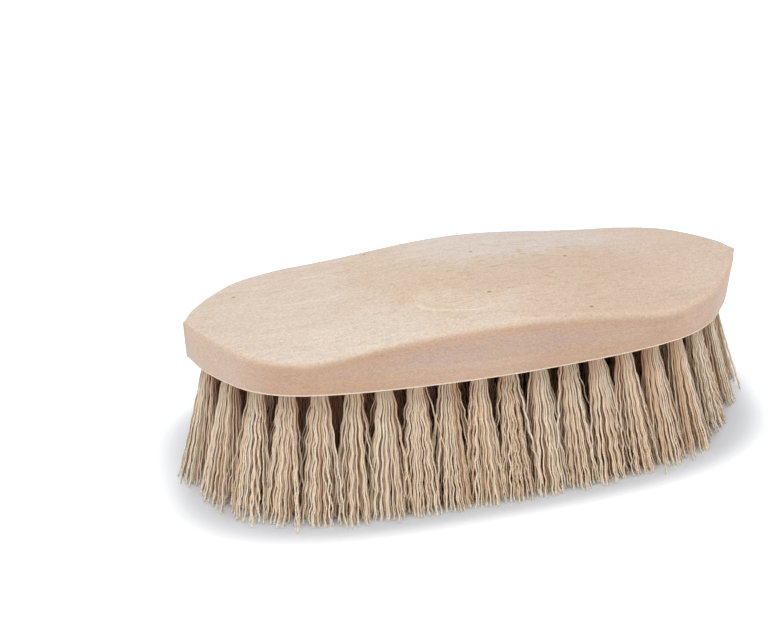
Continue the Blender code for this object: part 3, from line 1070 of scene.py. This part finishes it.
def build_tuft(name, root, tip, random):
    """Copy of the straight tuft whose strands follow their combed paths."""
    path, disc, lock = comb(root, tip, random)
    mesh = stock.copy()
    taper = np.linspace(1, TIP_THICKNESS_SHARE, STRAND_LENGTHS + 1)
    taper[-1] = CUT_END_SHARE
    thickness = STRAND_RADIUS * random.uniform(*STRAND_THICKNESSES, STRANDS)
    radius = thickness[strand_of] * taper[ring_of]
    angle = random.uniform(0, 2 * math.pi, STRANDS)[strand_of]
    across = np.stack([corners[:, 0] * np.cos(angle) - corners[:, 1] * np.sin(angle),
                       corners[:, 0] * np.sin(angle) + corners[:, 1] * np.cos(angle),
                       np.zeros(len(corners))], axis=1)
    points = path[strand_of, ring_of] + across * radius[:, None]
    mesh.vertices.foreach_set("co", points.astype(np.float32).ravel())
    tone = tones(disc, lock, random)
    # Share of painted shade for each strand.
    painted_shade = painted_shade_shares(disc, root, name.startswith("rim"))
    mesh.attributes["tone"].data.foreach_set("value", tone[strand_of].astype(np.float32))
    mesh.attributes["painted_shade"].data.foreach_set("value", painted_shade[strand_of].astype(np.float32))
    mesh.update()
    item = bpy.data.objects.new(name, mesh)
    bpy.context.scene.collection.objects.link(item)
    return item


combing = np.random.default_rng(SEED)
combed_tufts = []
for name, node, root, tip in tufts:
    tuft = build_tuft(f"{name}_fibres", root, tip, combing)
    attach(tuft, "root")
    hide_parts(node)
    combed_tufts.append(tuft)
print("strands", len(combed_tufts) * STRANDS, "triangles", len(combed_tufts) * len(stock.polygons) * 2)

# %% [markdown]
# ## Plant fibre
# The fibre is a stiff blend cut from leaf and root, from straw to tan, and each strand has its own tone. It
# has faint lengthwise streaks, painted shade near the block, and a pale fresh end where the tuft was
# trimmed. Deep between the tufts the upper part of a strand has a painted warm brown shade. Combing gave
# every strand its tone and its share of painted shade, and the place along the strand is a third attribute.
# It runs from 0 in the hole to 1 at the floor.

# %% Fibre material
FIBRE_TONES = [
    (0.0, (174, 120, 77)),
    (0.3, (230, 194, 155)),
    (0.65, (253, 231, 202)),
    (1.0, (255, 243, 220)),
]
FIBRE_END = screen_colour(255, 246, 226)
# Colour of the streaks and of the painted shade near the block.
FIBRE_STREAK_AND_SHADE = screen_colour(166, 135, 104)
# Warm brown painted shade deep between the tufts.
FIBRE_DEEP_SHADE = screen_colour(190, 120, 78)
FIBRE_STRETCH = (2200.0, 2200.0, 90.0)
FIBRE_CONTRAST = 2.5
STREAK_SHARE = 0.25
# Painted shade near the block fades out along the strand.
ROOT_SHADE_ALONG = (0.05, 0.36)
ROOT_SHADE_SHARE = 0.68
# Where the painted shade deep between the tufts fades out, and how strong it is.
DEEP_SHADE_ALONG = (0.12, 0.62)
DEEP_SHADE_SHARE = 0.93
END_ALONG = (0.965, 0.98)
FIBRE_ROUGHNESS = 0.5
FIBRE_ROUGHNESS_RISE = 0.15
FIBRE_RELIEF_DEPTH = 0.00005


def tone_ramp(tree):
    """Colour of a strand by its tone."""
    ramp = add_node(tree, "ShaderNodeValToRGB", Fac=attribute(tree, "tone"))
    stops = ramp.color_ramp.elements
    stops.remove(stops[0])
    for index, (position, colour) in enumerate(FIBRE_TONES):
        stop = stops[0] if index == 0 else stops.new(position)
        stop.position = position
        stop.color = screen_colour(*colour)
    return ramp.outputs["Color"]


def build_fibre():
    material, tree, shader = new_material("plant_fibre_strands")
    place = add_node(tree, "ShaderNodeTexCoord").outputs["Object"]
    fine, broad = add_streaks(tree, place, FIBRE_STRETCH, FIBRE_CONTRAST)
    along = attribute(tree, "along")
    # Painted shade near the block.
    root_shade = rest_of(tree, spread(tree, along, *ROOT_SHADE_ALONG))
    # Painted shade on the upper part of strands deep between the tufts.
    deep_shade = part(tree, attribute(tree, "painted_shade"), rest_of(tree, spread(tree, along, *DEEP_SHADE_ALONG)))
    layers = [
        (part(tree, fine, STREAK_SHARE), FIBRE_STREAK_AND_SHADE),
        (part(tree, root_shade, ROOT_SHADE_SHARE), FIBRE_STREAK_AND_SHADE),
        (part(tree, deep_shade, DEEP_SHADE_SHARE), FIBRE_DEEP_SHADE),
        (spread(tree, along, *END_ALONG), FIBRE_END),
    ]
    tree.links.new(add_layers(tree, tone_ramp(tree), layers), shader.inputs["Base Color"])
    tree.links.new(climb(tree, broad, FIBRE_ROUGHNESS_RISE, FIBRE_ROUGHNESS), shader.inputs["Roughness"])
    add_relief(tree, shader, fine, FIBRE_RELIEF_DEPTH)
    return material


fibre = build_fibre()
for tuft in combed_tufts:
    tuft.data.materials.append(fibre)
print("fibre nodes", len(fibre.node_tree.nodes))

# %% [markdown]
# ## Finish
# The last line brings the scene up to date.

# %% Bring the scene up to date
bpy.context.view_layer.update()
